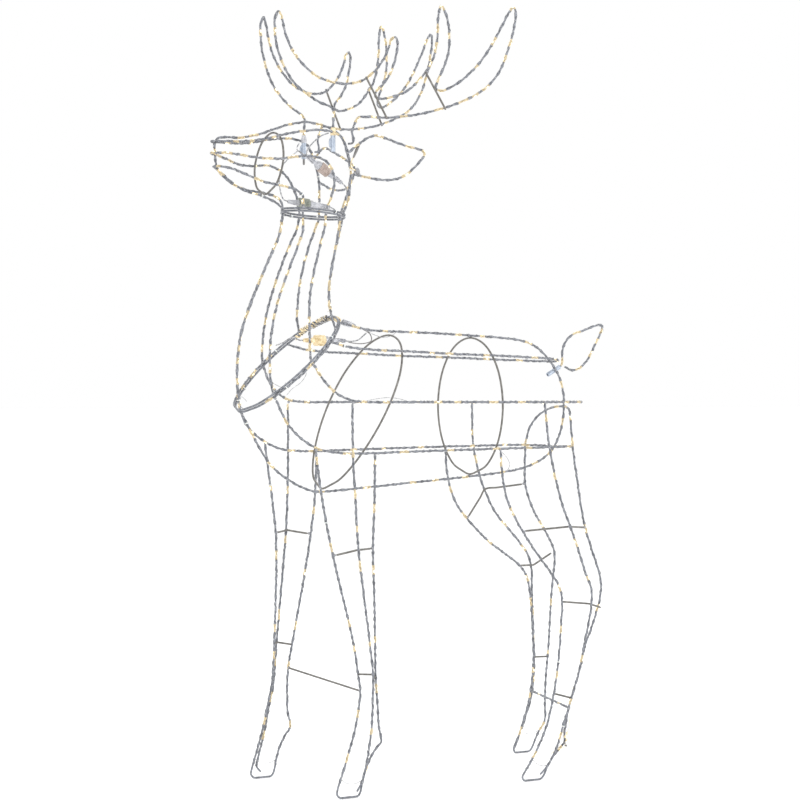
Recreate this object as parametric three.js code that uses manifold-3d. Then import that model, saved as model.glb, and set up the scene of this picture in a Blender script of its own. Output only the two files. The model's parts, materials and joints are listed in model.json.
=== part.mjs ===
import * as THREE from "three";
import Module from "manifold-3d";
import { mergeVertices } from "three/addons/utils/BufferGeometryUtils.js";

// Light-up yard reindeer: bent, butt-welded wire, in plug-in sections (body with legs, neck, head,
// two antlers, tail) whose light strings join through screw-collar connectors.
// Millimetres, +Z up, nose toward -X, the deer's left side toward -Y, hooves standing on Z = 0.
// The origin is on the ground at the middle of the deer's length and width.

// Driving dimensions
const WIRE = 4; // across the flats of a frame wire
const GAP = 0.3; // clearance between pieces that touch
const RADIUS = WIRE / 2;
const CORNER = RADIUS / Math.cos(Math.PI / 6); // half a wire across its corners
const LAY = 2 * CORNER + GAP; // centre spacing of two wires that lie side by side
const BUTT = CORNER + GAP + 0.8; // from the centre of a wire to the end of one welded squarely to it
const HALF_LENGTH = 446; // nose or tail tip from the middle
const FRONT_FOOT = 134; // hoof centre from the symmetry plane
const REAR_FOOT = 144;
const FRONT_HIP = [100, 109]; // where a hoof wire's front and back runs meet the lower side loop
const REAR_HIP = [110, 89];
const OUTER_HIP = 134; // where the outer leg wires meet the middle side loop
const HIP_HEIGHT = 650;
const RAIL_HEIGHT = 747;

const NECK_RING = { x: -287.5, z: 820.5, along: 133.5, across: 112, tilt: 43.2 };
const HEAD_RING = { x: -232, z: 1112, along: 63.5, across: 60, tilt: -4.5 };
const FRONT_HOOP = { x: -139.8, z: 728.8, along: 166.5, across: 132, tilt: 64.4 };
const REAR_HOOP = { x: 119, z: 739, along: 137.5, across: 131, tilt: 90 };
const MUZZLE_RING = { x: -325, z: 1204.5, along: 59.5, across: 66, tilt: 83.8 };

const ANTLER_ROOT = { x: -220, y: 65.2 }; // axis of an antler socket
const ANTLER_SPLAY = 16.7; // degrees that an antler opens outward toward the tail
const SOCKET = { outer: 4.7, bore: 2.75, length: 34 };
const SOCKET_PLATE = { width: 9, height: 20, thickness: 1.6 };
const TAIL_ANGLE = 30; // degrees that the tail's pin rises toward the tail

const frameWire = new THREE.MeshStandardMaterial({
  name: "frame_wire",
  color: 0xb9bab6,
  roughness: 0.45,
  metalness: 0.35,
});
const bareWire = new THREE.MeshStandardMaterial({
  name: "bare_wire",
  color: 0x85827c,
  roughness: 0.4,
  metalness: 0.6,
});
const socketSteel = new THREE.MeshStandardMaterial({
  name: "socket_steel",
  color: 0xa9b2bd,
  roughness: 0.35,
  metalness: 0.7,
});
const clearPlastic = new THREE.MeshStandardMaterial({
  name: "clear_plastic",
  color: 0xd7d9dc,
  roughness: 0.3,
  metalness: 0,
});
const nutPlastic = new THREE.MeshStandardMaterial({
  name: "nut_plastic",
  color: 0xa8938a,
  roughness: 0.4,
  metalness: 0,
});

const deer = new THREE.Group();
const left = -1;
const right = 1;
const sides = [
  ["left", left],
  ["right", right],
];

const radians = (degrees) => (degrees * Math.PI) / 180;
const vector = (point) => new THREE.Vector3(...point);

// A bend line whose cross-sections stay level with one fixed direction, so a wire isn't twisted
// and its lowest flat faces the ground at a hoof. Sections are denser where its points are denser.
class BendLine extends THREE.CatmullRomCurve3 {
  constructor(points, reference) {
    super(points, false, "centripetal");
    this.reference = reference;
  }

  getPointAt(u, target) {
    return this.getPoint(u, target);
  }

  getTangentAt(u, target) {
    return this.getTangent(u, target);
  }

  computeFrenetFrames(segments, closed) {
    if (!this.reference) return super.computeFrenetFrames(segments, closed);
    const tangents = [];
    const normals = [];
    const binormals = [];
    for (let i = 0; i <= segments; i++) {
      const tangent = this.getTangent(i / segments);
      const normal = new THREE.Vector3().crossVectors(this.reference, tangent).normalize();
      tangents.push(tangent);
      normals.push(normal);
      binormals.push(new THREE.Vector3().crossVectors(tangent, normal));
    }
    return { tangents, normals, binormals };
  }
}

const ACROSS = new THREE.Vector3(0, 1, 0);
const UP = new THREE.Vector3(0, 0, 1);

const section = new THREE.Shape(
  Array.from({ length: 6 }, (_, i) => {
    const angle = radians(30 + 60 * i);
    return new THREE.Vector2(CORNER * Math.cos(angle), CORNER * Math.sin(angle));
  }),
);

// A copy of the points with each end drawn back, so the cut end stops short of the wire it is welded to.
function trimmed(points, start, end) {
  const line = points.map(vector);
  const drawBack = (tip, next, amount) => tip.add(next.clone().sub(tip).setLength(amount));
  if (start > 0) drawBack(line[0], line[1], start);
  if (end > 0) drawBack(line.at(-1), line.at(-2), end);
  return line;
}

// One bent wire through the points. start and end are how far each end is drawn back.
function bend(points, { reference = null, start = BUTT, end = BUTT, density = 1 } = {}) {
  const line = trimmed(points, start, end);
  return new THREE.ExtrudeGeometry(section, {
    extrudePath: new BendLine(line, reference),
    steps: density * (line.length - 1),
    bevelEnabled: false,
  });
}

function add(name, geometry, material, parent = deer) {
  const mesh = new THREE.Mesh(geometry, material);
  mesh.name = name;
  parent.add(mesh);
  return mesh;
}

const wire = (name, points, options = {}) =>
  add(name, bend(points, options), options.material ?? frameWire, options.parent ?? deer);

// Points of one side, from its fixed end to the symmetry plane, and back along the other side.
function acrossBothSides(half) {
  const other = half.slice(0, -1).reverse();
  return [...half, ...other.map(([x, y, z]) => [x, -y, z])];
}

// The point at an angle round an oval hoop, from its high end (0) by the left side (90) to its low
// end (180). egg widens the high end.
function onHoop(hoop, degrees, { lift = 0, egg = 0 } = {}) {
  const angle = radians(degrees);
  const tilt = radians(hoop.tilt);
  const s = hoop.along * Math.cos(angle);
  const y = -hoop.across * Math.sin(angle) * (1 + egg * Math.cos(angle));
  const x = hoop.x + s * Math.cos(tilt) - lift * Math.sin(tilt);
  return [x, y, hoop.z + s * Math.sin(tilt) + lift * Math.cos(tilt)];
}

// An oval wire ring whose two ends meet at a butt weld at its low end.
function ringWire(name, hoop, count, { lift = 0, egg = 0, material = frameWire } = {}) {
  const points = Array.from({ length: count + 1 }, (_, i) => {
    const turn = 180 + (360 * i) / count;
    return onHoop(hoop, turn, { lift, egg });
  });
  const tilt = radians(hoop.tilt);
  const normal = new THREE.Vector3(-Math.sin(tilt), 0, Math.cos(tilt));
  wire(name, points, { reference: normal, start: GAP, end: GAP, density: 2, material });
}

// Body: one midline wire, three side loops, two hoops and the neck ring
function body() {
  wire(
    "spine_and_belly_wire",
    [
      [-186, 0, 906],
      [-150, 0, 897],
      [-110, 0, 889],
      [-66, 0, 887],
      [30, 0, 885],
      [119, 0, 881.5],
      [190, 0, 878],
      [240, 0, 873],
      [272, 0, 863],
      [297, 0, 845],
      [318, 0, 822],
      [335, 0, 794],
      [343, 0, 765],
      [344, 0, 738],
      [341, 0, 706],
      [331, 0, 674],
      [313, 0, 646],
      [284, 0, 626],
      [240, 0, 611],
      [186, 0, 603],
      [119, 0, 596.6],
      [30, 0, 590],
      [-50, 0, 584],
      [-129, 0, 578],
      [-185, 0, 574],
      [-224, 0, 573],
      [-255, 0, 582],
      [-285, 0, 598],
      [-313, 0, 618],
      [-335, 0, 644],
      [-358, 0, 682],
      [-381, 0, 724],
    ],
    { reference: ACROSS, end: BUTT + 1 },
  );
  wire(
    "upper_side_loop",
    acrossBothSides([
      [-245, -97, 862],
      [-205, -98, 852],
      [-150, -101, 847],
      [-84, -103, 845],
      [20, -101, 841],
      [119, -98, 839],
      [215, -89, 836],
      [272, -72, 834],
      [306, -38, 832],
      [317, 0, 831],
    ]),
    { reference: UP, start: BUTT + 6, end: BUTT + 6 },
  );
  wire(
    "middle_side_loop",
    acrossBothSides([
      [-287, -114, 822],
      [-274, -121, 797],
      [-261, -126, 779],
      [-244, -131, 763],
      [-218, -134, 751],
      [-180, -136, RAIL_HEIGHT],
      [-129, -137, RAIL_HEIGHT],
      [0, -137, RAIL_HEIGHT],
      [119, -136.5, RAIL_HEIGHT],
      [215, -133, RAIL_HEIGHT],
      [292, -116, RAIL_HEIGHT],
      [334, -82, RAIL_HEIGHT],
      [347, -40, RAIL_HEIGHT],
      [349, 0, RAIL_HEIGHT],
    ]),
    { reference: UP, start: BUTT + 4, end: BUTT + 4 },
  );
  wire(
    "lower_side_loop",
    acrossBothSides([
      [-350, -85, 755],
      [-343, -94, 730],
      [-331, -99, 706],
      [-313, -100, 686],
      [-289, -99, 669],
      [-260, -99, 656],
      [-220, -105, 650],
      [-178, -111.5, 649],
      [-90, -109, 651],
      [10, -110, 653],
      [119, -111, 655],
      [205, -108, 656],
      [266, -101, 657],
      [306, -83, 657],
      [322, -45, 656],
      [325.5, 0, 655],
    ]),
    { reference: UP, start: BUTT + 2, end: BUTT + 2 },
  );
  ringWire("front_hoop", FRONT_HOOP, 12, { egg: 0.12, material: bareWire });
  ringWire("rear_hoop", REAR_HOOP, 12, { material: bareWire });
  ringWire("body_neck_ring", NECK_RING, 12, { lift: -LAY / 2 });
}

// Legs. A hoof wire runs from the hip down the front of the leg, along the ground and up the back.
// The outer wire runs from the middle side loop and turns in onto the hoof. Each bend is [x, z].
const legs = [
  {
    name: "front_left",
    side: left,
    foot: FRONT_FOOT,
    hip: FRONT_HIP,
    hoof: [
      [-274, 658],
      [-265, 583],
      [-254, 515],
      [-242, 456],
      [-229, 400],
      [-212, 330],
      [-201, 277],
      [-195, 231],
      [-191, 199],
      [-196, 163],
      [-206, 121],
      [-220, 81],
      [-232, 48],
      [-243, 20],
      [-245, 8],
      [-239, 2.6],
      [-232, RADIUS],
      [-225, RADIUS],
      [-214, RADIUS],
      [-207, RADIUS],
      [-201, 3],
      [-196, 10],
      [-192, 26],
      [-179, 62],
      [-162, 88],
      [-150, 100],
      [-150, 110],
      [-154, 128],
      [-156, 168],
      [-159, 222],
      [-159, 301],
      [-159, 371],
      [-160, 468],
      [-155, 560],
      [-152, 649],
    ],
    outer: [
      [-213, RAIL_HEIGHT],
      [-212, 643],
      [-207, 560],
      [-201, 467],
      [-189, 374],
      [-179, 300],
      [-171, 230],
      [-172, 171],
      [-175, 123],
      [-181, 86],
      [-187, 56],
      [-195, 29],
      [-206, 12],
    ],
    braces: [["knee_brace", 456, 467, 468]],
  },
  {
    name: "front_right",
    side: right,
    foot: FRONT_FOOT,
    hip: FRONT_HIP,
    hoof: [
      [-289, 669],
      [-278, 600],
      [-268, 540],
      [-261, 488],
      [-258, 420],
      [-258, 356],
      [-259, 266],
      [-262, 190],
      [-270, 148],
      [-279, 104],
      [-290, 61],
      [-301, 24],
      [-303, 9],
      [-297, 2.6],
      [-290, RADIUS],
      [-283, RADIUS],
      [-272, RADIUS],
      [-265, RADIUS],
      [-259, 3],
      [-254, 10],
      [-249, 34],
      [-241, 62],
      [-229, 84],
      [-219, 97],
      [-220, 108],
      [-225, 125],
      [-227, 155],
      [-226, 217],
      [-218, 263],
      [-205, 336],
      [-192, 410],
      [-181, 483],
      [-173, 560],
      [-171, 649],
    ],
    outer: [
      [-223, RAIL_HEIGHT],
      [-222, 650],
      [-223, 570],
      [-226, 491],
      [-232, 420],
      [-238, 354],
      [-246, 268],
      [-253, 183],
      [-262, 142],
      [-272, 92],
      [-283, 50],
      [-289, 24],
      [-280, 12],
    ],
    braces: [["knee_brace", 488, 491, 483]],
  },
  {
    name: "rear_left",
    side: left,
    foot: REAR_FOOT,
    hip: REAR_HIP,
    hoof: [
      [126, 655],
      [128, 612],
      [134, 571],
      [144, 540],
      [172, 491],
      [207, 442],
      [238, 403],
      [255, 376],
      [260, 348],
      [256, 303],
      [249, 243],
      [241, 196],
      [233, 162],
      [219, 114],
      [203, 80],
      [184, 48],
      [167, 25],
      [156, 9],
      [160, 2.6],
      [167, RADIUS],
      [174, RADIUS],
      [185, RADIUS],
      [192, RADIUS],
      [199, 3],
      [206, 10],
      [216, 27],
      [232, 46],
      [246, 58],
      [257, 70],
      [258, 84],
      [264, 110],
      [272, 140],
      [291, 185],
      [304, 217],
      [316, 255],
      [333, 290],
      [348, 323],
      [358, 352],
      [362, 380],
      [357, 407],
      [344, 446],
      [330, 493],
      [322, 538],
      [318, 572],
      [315, 600],
    ],
    outer: [
      [214, RAIL_HEIGHT],
      [219, 691],
      [226, 646],
      [239, 588],
      [255, 536],
      [271, 498],
      [290, 449],
      [306, 404],
      [319, 372],
      [319, 342],
      [311, 302],
      [300, 260],
      [290, 216],
      [278, 182],
      [263, 140],
      [251, 111],
      [240, 78],
      [222, 42],
      [208, 24],
      [194, 12],
    ],
    braces: [["thigh_brace", 491, 498, 493]],
  },
  {
    name: "rear_right",
    side: right,
    foot: REAR_FOOT,
    hip: REAR_HIP,
    hoof: [
      [125.5, 655],
      [128, 615],
      [138, 571],
      [156, 533],
      [181, 504],
      [211, 475],
      [240, 451],
      [276, 427],
      [312, 401],
      [330, 378],
      [338, 350],
      [344, 310],
      [348, 270],
      [353, 203],
      [352, 170],
      [348, 133],
      [341, 97],
      [331, 66],
      [322, 38],
      [310, 12],
      [313, 2.6],
      [320, RADIUS],
      [327, RADIUS],
      [337, RADIUS],
      [344, RADIUS],
      [350, 3],
      [356, 10],
      [363, 28],
      [372, 46],
      [382, 60],
      [385, 74],
      [383, 100],
      [382, 156],
      [385, 222],
      [386, 305],
      [387, 346],
      [389, 379],
      [391, 408],
      [388, 432],
      [376, 455],
      [358, 482],
      [337, 511],
      [319, 545],
      [309, 575],
      [306, 600],
    ],
    outer: [
      [202, RAIL_HEIGHT],
      [206, 658],
      [219, 604],
      [234, 564],
      [261, 515],
      [291, 482],
      [322, 449],
      [343, 422],
      [352, 395],
      [354, 350],
      [357, 290],
      [362, 203],
      [361, 160],
      [356, 120],
      [343, 80],
      [330, 45],
      [321, 24],
      [316, 12],
    ],
    braces: [["thigh_brace", 504, 564, 575]],
  },
];

// The side-to-side place of a leg's hoof wire, on its front (0) or back (1) run, and of its outer
// wire at a height.
const hoofWireY = (leg, z, run) =>
  leg.side * THREE.MathUtils.mapLinear(Math.min(z, HIP_HEIGHT), 0, HIP_HEIGHT, leg.foot, leg.hip[run]);
const outerWireY = (leg, z) =>
  leg.side *
  THREE.MathUtils.mapLinear(Math.min(z, RAIL_HEIGHT), 0, RAIL_HEIGHT, leg.foot + LAY, OUTER_HIP);

// The index of the first bend that lies on the ground.
const footAt = (leg) => leg.hoof.findIndex(([, z]) => z <= RADIUS);

// The bend of a list that is nearest a height.
const nearest = (bends, height) =>
  bends.reduce((best, p) => (Math.abs(p[1] - height) < Math.abs(best[1] - height) ? p : best));

function legWires(leg) {
  const foot = footAt(leg);
  const runs = [leg.hoof.slice(0, foot), leg.hoof.slice(foot)];
  const level = 12; // below this height the hoof is flat from side to side
  wire(
    leg.name + "_hoof_wire",
    runs.flatMap((run, i) => run.map(([x, z]) => [x, hoofWireY(leg, z < level ? 0 : z, i), z])),
    { reference: ACROSS, start: BUTT + 2, end: leg.name.startsWith("rear") ? 0 : BUTT },
  );
  wire(
    leg.name + "_outer_wire",
    leg.outer.map(([x, z]) => [x, outerWireY(leg, z), z]),
    { reference: ACROSS, end: 0 },
  );
  for (const [brace, front, outer, back] of leg.braces) {
    const a = nearest(runs[0], front);
    const b = nearest(leg.outer, outer);
    const c = nearest(runs[1], back);
    const from = vector([a[0], hoofWireY(leg, a[1], 0), a[1]]);
    const knee = vector([b[0], outerWireY(leg, b[1]) - leg.side * LAY, b[1]]);
    const to = vector([c[0], hoofWireY(leg, c[1], 1), c[1]]);
    const near = 0.7; // of the way from an end to the knee, where the bend begins
    wire(
      leg.name + "_" + brace,
      [from, from.clone().lerp(knee, near), knee, to.clone().lerp(knee, near), to].map((p) => p.toArray()),
      { reference: UP, start: BUTT + 3, end: BUTT + 3, material: bareWire },
    );
  }
}

function rumpAndCrossbars() {
  const [rearLeft, rearRight] = [legs[2], legs[3]];
  const start = rearLeft.hoof.at(-1);
  const end = rearRight.hoof.at(-1);
  wire(
    "rump_arch",
    [
      [start[0], hoofWireY(rearLeft, start[1], 1), start[1] + 2 * GAP],
      [311, -91, 630],
      [308, -88.5, 668],
      [314, -73, 704],
      [328, -46, 729],
      [338, -18, 737],
      [339, 0, 738],
      [337, 18, 737],
      [327, 46, 729],
      [313, 73, 704],
      [307, 88.5, 668],
      [306, 91, 630],
      [end[0], hoofWireY(rearRight, end[1], 1), end[1] + 2 * GAP],
    ],
    { reference: new THREE.Vector3(1, 0, 0), start: 0, end: 0 },
  );
  const bar = (name, from, to, material) =>
    wire(name, [from, to.map((v, i) => (v + from[i]) / 2), to], {
      reference: UP,
      start: BUTT + 1,
      end: BUTT + 1,
      material,
    });
  const front = 199;
  bar(
    "front_crossbar",
    [-191, hoofWireY(legs[0], front, 0), front],
    [-226, hoofWireY(legs[1], front + 18, 1), front + 18],
    bareWire,
  );
  bar(
    "rear_crossbar",
    [275, hoofWireY(rearLeft, 135, 1), 135],
    [348, hoofWireY(rearRight, 133, 0), 133],
    frameWire,
  );
}

// Tail: a leaf-shaped loop whose straight pin drops into a socket welded beside the spine wire
const TAIL_PLANE = SOCKET.outer + CORNER + GAP;
const TAIL_ROOT = [309, TAIL_PLANE, 803];

function socket(name, place, angle) {
  const { outer, bore, length } = SOCKET;
  const profile = [
    [bore, 0],
    [outer, 0],
    [outer, length],
    [bore, length],
    [bore, 0],
  ].map(([r, z]) => new THREE.Vector2(r, z));
  const tube = add(name, new THREE.LatheGeometry(profile, 12), socketSteel);
  tube.position.set(...place);
  tube.rotation.set(0, radians(90 - angle), 0, "YXZ");
  tube.rotateX(Math.PI / 2);
}

function tail() {
  const along = ([x, y, z], distance) => [
    x + distance * Math.cos(radians(TAIL_ANGLE)),
    y,
    z + distance * Math.sin(radians(TAIL_ANGLE)),
  ];
  socket("tail_socket", TAIL_ROOT, TAIL_ANGLE);
  wire(
    "tail_loop",
    [
      along(TAIL_ROOT, 5),
      along(TAIL_ROOT, 20),
      along(TAIL_ROOT, 37),
      [345, TAIL_PLANE, 833],
      [345, TAIL_PLANE, 850],
      [352, TAIL_PLANE, 870],
      [370, TAIL_PLANE, 887],
      [400, TAIL_PLANE, 897],
      [434, TAIL_PLANE, 908],
      [HALF_LENGTH - RADIUS, TAIL_PLANE, 906],
      [440, TAIL_PLANE, 892],
      [424, TAIL_PLANE, 863],
      [406, TAIL_PLANE, 834],
      [388, TAIL_PLANE, 818],
      [368, TAIL_PLANE, 813],
      [351, TAIL_PLANE, 820],
    ],
    { reference: ACROSS, start: 0, end: 0 },
  );
}

// Neck: two rings joined by eight wires, a front and a back one and three pairs
function neck() {
  const bottom = (degrees) => onHoop(NECK_RING, degrees, { lift: LAY / 2 });
  const top = (degrees) => onHoop(HEAD_RING, degrees, { lift: -LAY / 2 });
  ringWire("neck_lower_ring", NECK_RING, 12, { lift: LAY / 2 });
  ringWire("neck_upper_ring", HEAD_RING, 8, { lift: -LAY / 2 });
  wire(
    "neck_front_wire",
    [
      bottom(180),
      [-389, 0, 765],
      [-391, 0, 795],
      [-389, 0, 840],
      [-381, 0, 886],
      [-364, 0, 932],
      [-342, 0, 985],
      [-318, 0, 1034],
      [-302, 0, 1072],
      top(180),
    ],
    { reference: ACROSS, start: BUTT + 1 },
  );
  wire(
    "neck_back_wire",
    [
      bottom(0),
      [-195, 0, 938],
      [-197, 0, 962],
      [-190, 0, 1010],
      [-180, 0, 1055],
      [-172, 0, 1085],
      top(0),
    ],
    { reference: ACROSS, start: BUTT + 1 },
  );
  for (const [side, sign] of sides) {
    const pair = (points) => points.map(([x, y, z]) => [x, -sign * y, z]);
    wire(
      `neck_front_${side}_wire`,
      pair([
        bottom(132),
        [-357, -78, 790],
        [-358, -77, 820],
        [-353, -72, 872],
        [-338, -66, 930],
        [-315, -60, 987],
        [-290, -57, 1045],
        [-278, -54, 1075],
        top(132),
      ]),
      { reference: ACROSS, start: BUTT + 1 },
    );
    wire(
      `neck_side_${side}_wire`,
      pair([
        bottom(90),
        [-290, -109, 856],
        [-289, -106, 882],
        [-283, -93, 938],
        [-268, -82, 996],
        [-248, -72, 1055],
        [-236, -64, 1086],
        top(90),
      ]),
      { reference: ACROSS, start: BUTT + 2 },
    );
    wire(
      `neck_back_${side}_wire`,
      pair([
        bottom(47),
        [-229, -78, 910],
        [-231, -71, 935],
        [-227, -67, 985],
        [-213, -63, 1045],
        [-203, -56, 1080],
        top(54),
      ]),
      { reference: ACROSS, start: BUTT + 1 },
    );
  }
}

// Head: a midline wire, three loops round the nose, a muzzle ring, ears and antler sockets
function head() {
  const base = (degrees) => onHoop(HEAD_RING, degrees, { lift: LAY / 2 });
  ringWire("head_base_ring", HEAD_RING, 8, { lift: LAY / 2 });
  ringWire("muzzle_ring", MUZZLE_RING, 8, { material: bareWire });
  wire(
    "head_midline_wire",
    [
      base(180),
      [-312, 0, 1131],
      [-337, 0, 1141],
      [-362, 0, 1147],
      [-387, 0, 1155],
      [-410, 0, 1168],
      [-427, 0, 1181],
      [-434, 0, 1195],
      [-437, 0, 1218],
      [-437, 0, 1236],
      [-431, 0, 1247],
      [-410, 0, 1250],
      [-383, 0, 1251],
      [-341, 0, 1261],
      [-312, 0, 1272],
      [-283, 0, 1282],
      [-246, 0, 1289],
      [-215, 0, 1286],
      [-186, 0, 1277],
      [-168, 0, 1262],
      [-155, 0, 1225],
      [-149, 0, 1196],
      [-151, 0, 1165],
      [-158, 0, 1133],
      base(0),
    ],
    { reference: ACROSS, start: BUTT + 2, end: BUTT + 1 },
  );
  wire(
    "brow_loop",
    acrossBothSides([
      base(54),
      [-191, -56, 1132],
      [-186, -65, 1156],
      [-185, -71, 1188],
      [-190, -74, 1214],
      [-199, -75, 1240],
      [-212, -74, 1258],
      [-240, -73, 1265],
      [-275, -68, 1263],
      [-308, -59, 1257],
      [-335, -46, 1250],
      [-358, -31, 1245],
      [-382, -18, 1242],
      [-410, -12, 1241],
      [-432, -9, 1240],
      [-HALF_LENGTH + CORNER, 0, 1240],
    ]),
    { start: BUTT + 1, end: BUTT + 1 },
  );
  wire(
    "cheek_loop",
    acrossBothSides([
      base(90),
      [-228, -72, 1136],
      [-228, -86, 1157],
      [-233, -95, 1178],
      [-246, -100, 1198],
      [-266, -98, 1209],
      [-290, -90, 1212],
      [-325, -72, 1207],
      [-348, -64, 1206],
      [-372, -52, 1208],
      [-397, -37, 1213],
      [-420, -23, 1217],
      [-437, -12, 1218],
      [-HALF_LENGTH + CORNER, 0, 1218],
    ]),
    { start: BUTT + 1, end: BUTT + 1 },
  );
  wire(
    "jaw_loop",
    acrossBothSides([
      base(132),
      [-276, -50, 1138],
      [-288, -55, 1148],
      [-309, -60, 1154],
      [-334, -63, 1157],
      [-360, -59, 1162],
      [-384, -49, 1172],
      [-407, -35, 1184],
      [-427, -18, 1191],
      [-439, 0, 1193],
    ]),
    { start: BUTT + 1, end: BUTT + 1 },
  );
  for (const [side, sign] of sides) {
    wire(
      `ear_${side}`,
      [
        [-194, 79, 1224],
        [-180, 88, 1238],
        [-165, 100, 1251],
        [-152, 108, 1256],
        [-127, 118, 1249],
        [-97, 128, 1238],
        [-70, 146, 1228],
        [-66, 148, 1220],
        [-76, 138, 1202],
        [-95, 120, 1181],
        [-118, 110, 1173],
        [-145, 99, 1174],
        [-168, 86, 1180],
        [-181, 77, 1183],
      ].map(([x, y, z]) => [x, sign * y, z]),
      { start: 0, end: 0 },
    );
  }
}

// A socket tube joined to the small plate that is welded to the brow loop.
async function antlerSockets() {
  const wasm = await Module();
  wasm.setup();
  const solid = (geometry) => {
    geometry.deleteAttribute("normal");
    geometry.deleteAttribute("uv");
    const merged = mergeVertices(geometry, 1e-4);
    return new wasm.Manifold(
      new wasm.Mesh({
        numProp: 3,
        vertProperties: merged.attributes.position.array,
        triVerts: new Uint32Array(merged.index.array),
      }),
    );
  };
  const { outer, bore, length } = SOCKET;
  const lathe = (r0, r1) => {
    const corners = [
      [r0, 0],
      [r1, 0],
      [r1, length],
      [r0, length],
      [r0, 0],
    ];
    const profile = corners.map(([r, z]) => new THREE.Vector2(r, z));
    return new THREE.LatheGeometry(profile, 12).rotateX(Math.PI / 2);
  };
  const { width, height, thickness } = SOCKET_PLATE;
  const plate = new THREE.BoxGeometry(width, thickness, height).translate(-width / 2, 0, length / 2);
  const core = new THREE.CylinderGeometry(bore, bore, 2 * length, 12).rotateX(Math.PI / 2);
  const joined = solid(lathe(bore, outer)).add(solid(plate)).subtract(solid(core)).getMesh();
  for (const [side, sign] of sides) {
    const geometry = new THREE.BufferGeometry();
    geometry.setAttribute("position", new THREE.BufferAttribute(joined.vertProperties, 3));
    geometry.setIndex(new THREE.BufferAttribute(joined.triVerts, 1));
    const mesh = add(`antler_socket_${side}`, geometry, socketSteel);
    mesh.position.set(ANTLER_ROOT.x, sign * ANTLER_ROOT.y, 1226);
  }
}

// Antlers: each is a flat bent outline with two braces welded to its outer face, in its own plane
function antlers() {
  const outline = [
    [0, 1232],
    [0, 1250],
    [0, 1270],
    [1, 1290],
    [2, 1303],
    [-5, 1312],
    [-25, 1320],
    [-46, 1332],
    [-69, 1350],
    [-86, 1371],
    [-101, 1402],
    [-109, 1428],
    [-112, 1455],
    [-112, 1478],
    [-105, 1492],
    [-99, 1480],
    [-92, 1450],
    [-79, 1419],
    [-58, 1392],
    [-33, 1371],
    [-8, 1361],
    [19, 1357],
    [45, 1360],
    [62, 1367],
    [81, 1383],
    [97, 1404],
    [109, 1430],
    [114, 1445],
    [122, 1450],
    [126, 1438],
    [122, 1411],
    [113, 1382],
    [99, 1360],
    [85, 1345],
    [82, 1335],
    [92, 1330],
    [117, 1335],
    [148, 1349],
    [172, 1373],
    [190, 1397],
    [200, 1424],
    [205, 1455],
    [206, 1490],
    [212, 1514],
    [221, 1500],
    [228, 1462],
    [226, 1422],
    [216, 1392],
    [204, 1366],
    [202, 1353],
    [213, 1349],
    [232, 1357],
    [257, 1374],
    [286, 1403],
    [312, 1440],
    [333, 1478],
    [348, 1507],
    [357, 1516],
    [361, 1503],
    [356, 1470],
    [345, 1431],
    [325, 1385],
    [293, 1351],
    [254, 1330],
    [215, 1315],
    [160, 1301],
    [103, 1294],
    [64, 1295],
    [49, 1293],
    [42, 1280],
    [37, 1264],
    [40, 1252],
    [38, 1244],
    [29, 1242],
  ];
  for (const [side, sign] of sides) {
    const plane = new THREE.Group();
    plane.position.set(ANTLER_ROOT.x, sign * ANTLER_ROOT.y, 0);
    plane.rotation.z = sign * radians(ANTLER_SPLAY);
    deer.add(plane);
    const straight = (name, from, to) =>
      wire(
        name,
        [from, to.map((v, i) => (v + from[i]) / 2), to].map(([u, z]) => [u, sign * LAY, z]),
        { reference: ACROSS, start: 0, end: 0, parent: plane, material: bareWire },
      );
    wire(
      `antler_${side}`,
      outline.map(([u, z]) => [u, 0, z]),
      { reference: ACROSS, start: 0, end: 0, parent: plane },
    );
    straight(`antler_${side}_front_brace`, [63, 1371], [105, 1291]);
    straight(`antler_${side}_rear_brace`, [180, 1384], [220, 1312]);
  }
}

// Screw-collar connectors. Along its own axis a connector runs from the strain relief of its
// socket half (-reach) to the strain relief of its plug half (reach), and its halves meet at 0.
const CONNECTOR = {
  reach: 46,
  face: 8.6,
  flange: 6,
  core: 6.4,
  nutBore: 6.8,
  nutOuter: 10.6,
  nut: 22,
};

// A half of a connector: cable end, ribbed strain relief, then a body up to its meeting face.
function half(body, face, skirt) {
  const { reach } = CONNECTOR;
  const ribs = [];
  for (let z = -reach + 3; z < -reach + 19; z += 5) {
    const swell = 0.1 * (z + reach);
    ribs.push([3 + swell, z], [4.6 + swell, z + 1], [4.6 + swell, z + 2.5], [3 + swell, z + 3.5]);
  }
  const profile = [
    [0, -reach],
    [3, -reach],
    ...ribs,
    [body, -reach + 22],
    [body, -skirt],
    [face, -skirt],
    [face, -GAP / 2],
    [0, -GAP / 2],
  ];
  return new THREE.LatheGeometry(
    profile.map(([r, z]) => new THREE.Vector2(r, z)),
    12,
  ).rotateX(Math.PI / 2);
}

function nutGeometry() {
  const { nutBore, nutOuter, nut } = CONNECTOR;
  const grips = 12;
  const outline = new THREE.Shape(
    Array.from({ length: 2 * grips }, (_, i) => {
      const r = nutOuter - (i % 2);
      const angle = (Math.PI * i) / grips;
      return new THREE.Vector2(r * Math.cos(angle), r * Math.sin(angle));
    }),
  );
  const bore = Array.from({ length: 12 }, (_, i) => {
    const angle = (-Math.PI * i) / 6;
    return new THREE.Vector2(nutBore * Math.cos(angle), nutBore * Math.sin(angle));
  });
  outline.holes.push(new THREE.Path(bore));
  return new THREE.ExtrudeGeometry(outline, { depth: nut, bevelEnabled: false });
}

// A group whose own Z axis is a connector's axis, pointing from the socket half to the plug half.
function connectorGroup({ x, y, z, pitch }) {
  const group = new THREE.Group();
  group.position.set(x, y, z);
  group.rotation.y = radians(90 + pitch);
  deer.add(group);
  return group;
}

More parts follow.
